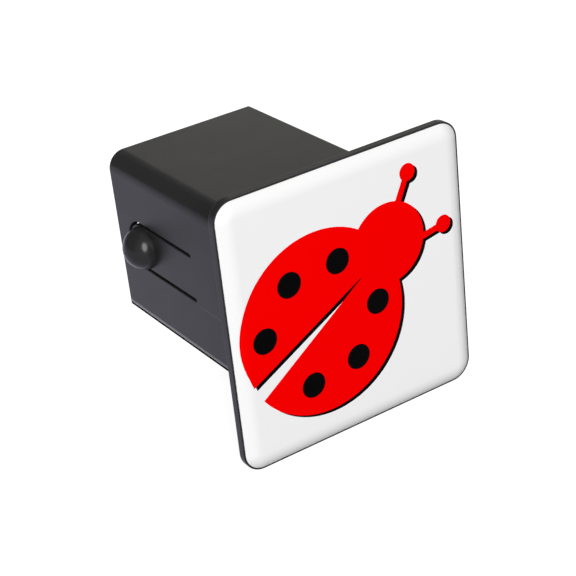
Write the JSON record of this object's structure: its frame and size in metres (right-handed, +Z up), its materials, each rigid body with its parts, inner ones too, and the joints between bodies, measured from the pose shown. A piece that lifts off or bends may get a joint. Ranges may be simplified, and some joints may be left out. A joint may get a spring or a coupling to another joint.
{
  "type": "hitch receiver cover",
  "caption": "Plug-in cover for a hitch receiver tube: a hollow square shank with snap buttons behind a rounded square flange and a white panel printed with a red ladybird.",
  "frame": {"origin": "on the shank's axis, in the plane of the flange's back, which stops against the mouth of the receiver tube", "axes": "+Y runs along the shank into the tube, so the printed panel looks towards -Y; +Z is up; +X is to the right as the panel is seen"},
  "size_m": [0.0766, 0.084, 0.079],
  "materials": {
    "black_plastic": "moulded black plastic with a fine matte grain",
    "white_panel": "smooth glossy white",
    "red_ink": "glossy pure red print",
    "black_ink": "glossy black print"
  },
  "bodies": {
    "root": {"receiver_plug": "black_plastic", "face_panel": "white_panel", "print_red": "red_ink", "print_black": "black_ink"}
  },
  "joints": []
}
